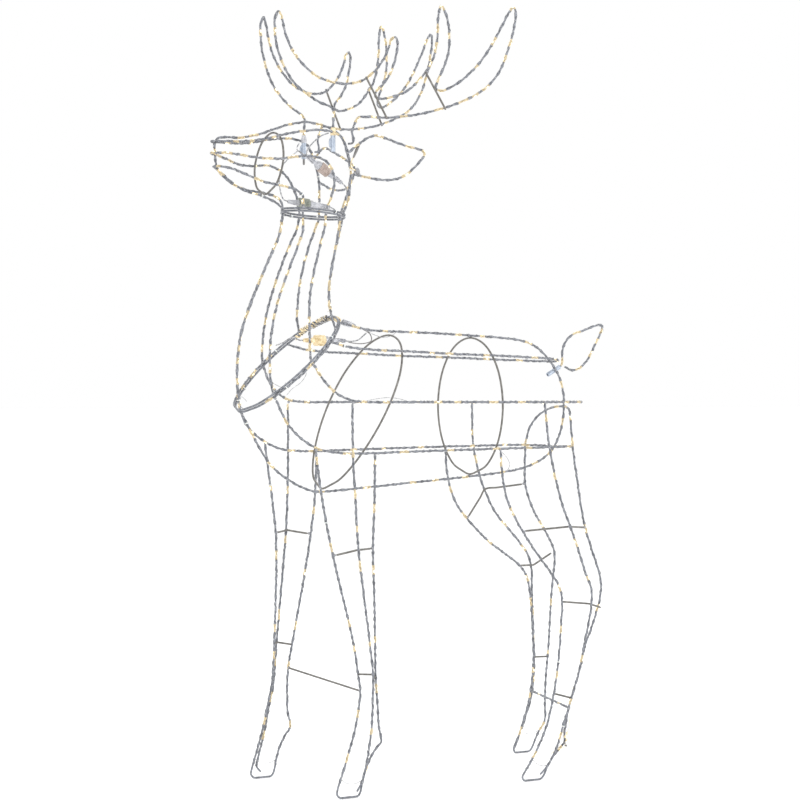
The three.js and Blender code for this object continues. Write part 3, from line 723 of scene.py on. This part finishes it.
def add_antler_connector():
    """One body that reaches through its collar, with a strain relief at each end."""
    turn = JOINT["antler_connector_nut_turn"]
    centre, axis = Vector(turn["pos_m"]), Vector(turn["axis"])
    near_end = relief(-REACH)
    far_end = [(radius, -distance) for radius, distance in reversed(near_end)]
    flare = [(5.4 * MM, -22 * MM), (FACE, -16 * MM), (FACE, -11.4 * MM)]
    waist = [(CORE, -11.3 * MM), (CORE, 11.3 * MM), (5.6 * MM, 20 * MM), (5.4 * MM, 22 * MM)]
    shape = Shape()
    shape.lathe([*near_end, *flare, *waist, *far_end], centre, axis, 32)
    make("antler_connector_body_clear", shape, [FROST], "head",
         ["antler_connector_body"], sharp=40)
    make("antler_connector_collar", collar_shape(centre, axis, -COLLAR_LENGTH / 2), [NUT],
         "antler_connector_nut", ["antler_connector_nut"], sharp=30)


def add_screw_connectors():
    """A flared socket, and a plug under the collar, face to face."""
    for name, clear, collar in (
        # the body connector's plug and collar carry painted glow from the string's lights
        ("body_connector", LIT_FROST, LIT_FROST),
        ("neck_connector", FROST, SMOKE),
    ):
        turn = JOINT[name + "_nut_turn"]
        centre, axis = Vector(turn["pos_m"]), Vector(turn["axis"])
        socket = Shape()
        socket.lathe(half_profile(CORE, FACE, 6 * MM), centre, axis, 32)
        make(name + "_socket_clear", socket, [FROST], BODY_OF[name + "_socket"],
             [name + "_socket"], sharp=40)
        plug = Shape()
        plug.lathe(half_profile(CORE, CORE, 24 * MM), centre, -axis, 32)
        make(name + "_plug_clear", plug, [clear], BODY_OF[name + "_plug"],
             [name + "_plug"], sharp=40)
        make(name + "_collar", collar_shape(centre, axis, 0.3 * MM), [collar],
             name + "_nut", [name + "_nut"], sharp=30)


def add_power_inlet():
    low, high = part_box("power_inlet")
    pitch = math.radians(15)
    axis = Vector((-math.cos(pitch), 0, math.sin(pitch)))
    tail = Vector((high.x - 1.2 * MM, (low.y + high.y) / 2, low.z + 4.2 * MM))
    ribbed_tail = [(0, 0), (2.4, 0), (3.6, 1), (3, 3), (4.2, 4), (3.6, 6), (4.8, 7), (4.3, 9)]
    barrel = [(5.9, 12), (6.1, 29), (5.7, 29.8), (4.5, 29.8), (4.5, 20), (0, 20)]
    shape = Shape()
    shape.lathe(in_mm([*ribbed_tail, *barrel]), tail, axis, 32)
    make("power_inlet_clear", shape, [FROST], "torso", ["power_inlet"], sharp=40)


def jumper(name, points, radius, body, finish=LEAD):
    """A short lead between a connector and the string, along points in millimetres."""
    shape = Shape()
    shape.tube(smooth([Vector(p) * MM for p in points], 2 * MM), radius, 10)
    make(name, shape, [finish], body)


def add_jumpers():
    """Leads from the connectors to the string, and the sagging lead across the top of each hoof."""
    jumper("antler_lead_front", [(-246, 0, 1224), (-254, 4, 1229), (-254, 24, 1238), (-243, 48, 1246),
                                 (-231, 64, 1256)], 1.4 * MM, "head")
    jumper("antler_lead_left", [(-246, 0, 1224), (-250, -18, 1236), (-238, -44, 1256),
                                (-228, -62, 1262)], 1.3 * MM, "head")
    jumper("antler_lead_rear", [(-168, 0, 1174), (-160, 1, 1168), (-155, 4, 1156), (-158, 5, 1140),
                                (-166, 4, 1122)], 1.4 * MM, "head")
    jumper("neck_connector_lead_head", [(-286, 0, 1134), (-294, 0, 1137), (-298, 4, 1150), (-296, 16, 1178),
                                        (-282, 34, 1204), (-262, 46, 1222), (-236, 60, 1240)],
           1.2 * MM, "head")
    jumper("neck_connector_lead_neck", [(-194, 0, 1126), (-186, 0, 1123), (-180, -4, 1112), (-179, -6, 1096),
                                        (-180, -5, 1070)], 1.3 * MM, "neck")
    jumper("body_connector_lead_neck", [(-260, -16, 866), (-268, -16, 866), (-276, -8, 872), (-282, 30, 862),
                                        (-280, 66, 858)], 1.3 * MM, "neck")
    jumper("body_connector_lead_body", [(-168, -16, 866), (-160, -16, 865), (-148, -10, 866), (-130, 2, 870),
                                        (-112, 6, 883)], 1.4 * MM, "torso")
    jumper("power_inlet_lead", [(-132, 13, 896), (-120, 13, 892), (-104, 6, 881), (-104, 0, 868),
                                (-122, -4, 862), (-148, -10, 862), (-162, -14, 864)],
           1.1 * MM, "torso", DARK_LEAD)
    for leg, front, back in (
        ("front_left", (-236, -133, 36), (-190, -133, 34)),
        ("front_right", (-295, 133, 40), (-249, 133, 36)),
        ("rear_left", (180, -142, 42), (221, -142, 32)),
        ("rear_right", (326, 142, 50), (370, 142, 46)),
    ):
        front = Vector(front)
        back = Vector(back)
        sag = [front.lerp(back, share) - drop * UP for share, drop in ((0.22, 6.5), (0.5, 9), (0.78, 6.5))]
        jumper(leg + "_hoof_lead", [front, *sag, back], 0.55 * MM, "torso")


# Bent bare braces low on the legs: an ankle brace on each, and a hock brace on each rear leg
def add_low_braces():
    for brace, side, bends in (
        ("front_left_ankle", -1, [(-196, 123, 231), (-171, 132, 230), (-159, 126, 222)]),
        ("front_right_ankle", 1, [(-259, 124, 266), (-246, 133, 268), (-218, 124, 263)]),
        ("rear_left_ankle", -1, [(236, 135, 167), (268, 142, 158), (275, 133, 152)]),
        ("rear_right_ankle", 1, [(353, 133, 203), (362, 139, 203), (385, 127, 204)]),
        ("rear_left_hock", -1, [(260, 126, 348), (319, 134, 342), (353, 124, 332)]),
        ("rear_right_hock", 1, [(312, 123, 401), (352, 132, 400), (389, 120, 425)]),
    ):
        points = [Vector((x, side * y, z)) * MM for x, y, z in bends]
        shape = Shape()
        shape.tube(evened(points, 4 * MM), WIRE_RADIUS, 12)
        make(brace + "_brace", shape, [BARE], "torso")


# Thick bundles of spare string wound on both neck rings, where the sections' strings meet
def add_bundles():
    fine_step = 0.9 * MM
    for node, body, first, last, seed in (
        ("body_neck_ring", "torso", 0.36, 0.56, 3),
        ("neck_lower_ring", "neck", 0.38, 0.49, 4),
    ):
        points, _ = centreline[node]
        count = len(points)
        rows = points[int(first * count) : int(last * count)]
        fine = evened(rows, fine_step)
        tangents, normals = transported(fine)
        shape = Shape()
        draw = random.Random(seed)
        for strand in range(4):
            turn_length = (8 + 1.7 * strand) * MM
            phase = draw.uniform(0, 6)
            run = []
            for i, p in enumerate(fine):
                angle = 2 * math.pi * i * fine_step / turn_length + phase
                r = WIRE_RADIUS + (1.7 + 0.8 * math.sin(i / 13 + phase)) * MM
                side = tangents[i].cross(normals[i])
                run.append(p + r * (math.cos(angle) * normals[i] + math.sin(angle) * side))
            # stretches of the spare string take LIT_LEAD, the painted glow of nearby lights
            numbers = [1 if math.sin(i / 34 + phase) > -0.3 else 0 for i in range(len(run))]
            shape.tube(run, 0.85 * MM, 6, numbers)
        make(node + "_spare_string", shape, [LEAD, LIT_LEAD], body)


# Small fittings
def add_ear_fittings():
    """A dark shrink tube behind the left ear, its lead, and a clip."""
    shape = Shape()
    top, foot = Vector((-171, -84, 1247)) * MM, Vector((-184, -80, 1215)) * MM
    profile = [(0, 0), (1.5, 0), (2.2, 4), (2.9, 14), (2.9, 26), (2.0, 33), (0.9, 34), (0, 34)]
    shape.lathe(in_mm(profile), foot, top - foot, 20)
    make("ear_left_shrink_tube", shape, [DARK_LEAD], "head", sharp=50)
    # the lead is drawn with LIT_LEAD, painted glow
    jumper("ear_left_lead", [(-184, -80, 1216), (-188, -79, 1206), (-187, -78, 1197), (-176, -77, 1190)],
           1.1 * MM, "head", LIT_LEAD)
    shape = Shape()
    clip = Vector((-173, -77, 1188)) * MM
    profile = [(0, -9), (2.6, -8.4), (4.2, -5), (3.6, -1.5), (4.6, 0), (4.4, 5), (2.8, 8.6), (0, 9)]
    shape.lathe(in_mm(profile), clip, Vector((-0.3, 0, 1)), 16)
    make("ear_left_clip", shape, [WELD], "head", sharp=50)


def add_socket_fittings():
    """A clear sleeve on each antler socket, and the dark plug under the right one."""
    # the left sleeve carries painted glow from the string's lights
    for side, finish in (("left", LIT_FROST), ("right", FROST)):
        low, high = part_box("antler_socket_" + side)
        root = Vector((PIN_X, (low.y + high.y) / 2, high.z))
        shape = Shape()
        profile = [(3, -3), (5.3, -3), (5.5, 4), (4.2, 12), (3, 12), (3, -3)]
        shape.lathe(in_mm(profile), root, UP, 24)
        make(f"antler_socket_{side}_sleeve", shape, [finish], "head", sharp=40)
    shape = Shape()
    low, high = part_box("antler_socket_right")
    foot = Vector((PIN_X, (low.y + high.y) / 2, low.z))
    shape.tube([foot + UP * z * MM for z in (3, -2, -8, -12)], 2.3 * MM, 12)
    make("antler_socket_right_plug", shape, [DARK_LEAD], "head")


def add_spare_lights():
    """The knot of spare lights above the left rear hoof, on its lead."""
    knots = [(258, -146, 88), (253, -147, 82), (258, -146, 75), (252, -147, 70), (256, -146, 64)]
    draw = random.Random(11)
    shape = Shape()
    for knot in knots:
        way = Vector([draw.uniform(-1, 1) for _ in range(3)])
        shape.blob(Vector(knot) * MM, way, 3.3 * MM, 2.4 * MM, draw.randint(0, 1))
    make("rear_left_spare_lights", shape, [DARK_LEAD, LIT_FROST], "torso")
    # the spare lead is drawn with LIT_LEAD, painted glow
    jumper("rear_left_spare_lead", [(266, -142, 118), (264, -147, 104), *knots, (247, -147, 60),
                                    (236, -146, 58), (222, -144, 50)], 0.7 * MM, "torso", LIT_LEAD)


# Thin loose loops where the string is gathered at the joints of the sections
def add_loose_loops():
    for name, body, points in (
        ("chest_left_loop", "torso", [(-330, -92, 760), (-322, -100, 772), (-306, -104, 784),
                                      (-296, -106, 800), (-301, -108, 812), (-312, -103, 798)]),
        ("chest_front_loop", "torso", [(-382, -8, 734), (-392, -14, 741), (-396, -16, 750),
                                       (-388, -14, 757), (-380, -20, 748)]),
        ("chest_low_loop", "torso", [(-287, 108, 812), (-276, 104, 790), (-258, 100, 778),
                                     (-246, 104, 776), (-238, 112, 786)]),
        ("rail_right_loop", "torso", [(-60, 132, 747), (-30, 126, 753), (0, 124, 756), (34, 128, 752),
                                      (52, 133, 747)]),
        ("spine_loop", "torso", [(-126, 0, 893), (-104, -8, 880), (-80, -8, 874), (-58, -4, 880),
                                 (-48, 0, 886)]),
        ("tail_loop_end", "tail", [(438, 5, 888), (443, 3, 896), (441, 2, 903), (434, 4, 906)]),
        ("hip_loop", "torso", [(126, -112, 650), (136, -120, 636), (140, -122, 622), (134, -119, 610),
                               (128, -113, 604)]),
    ):
        jumper(name, points, 0.55 * MM, body)


# Setting: a pale floor without an edge, and an even white surround
def add_floor():
    mesh = bpy.data.meshes.new("floor")
    half = 200  # metres, so that its far edge is at the horizon
    corners = [(-half, -half, 0), (half, -half, 0), (half, half, 0), (-half, half, 0)]
    mesh.from_pydata(corners, [], [(0, 1, 2, 3)])
    mesh.materials.append(FLOOR)
    floor = bpy.data.objects.new("floor", mesh)
    floor.location.z = -0.5 * MM
    bpy.context.scene.collection.objects.link(floor)


def add_world():
    bpy.context.scene.view_settings.view_transform = "Standard"
    world = bpy.data.worlds.new("studio")
    world.use_nodes = True
    background = world.node_tree.nodes["Background"]
    background.inputs["Color"].default_value = (1, 1, 1, 1)
    background.inputs["Strength"].default_value = 1.0
    bpy.context.scene.world = world


add_camera()
add_world()
add_light("key", (-2.5, -3.0, 3.2), 3.0, 60)
add_light("fill", (2.8, -2.2, 1.8), 3.0, 40)
add_light("back", (1.0, 3.2, 2.6), 3.0, 30)
add_floor()
add_wires()
add_welds()
add_ties()
add_sockets()
add_antler_connector()
add_screw_connectors()
add_power_inlet()
add_jumpers()
add_low_braces()
add_bundles()
add_ear_fittings()
add_socket_fittings()
add_spare_lights()
add_loose_loops()
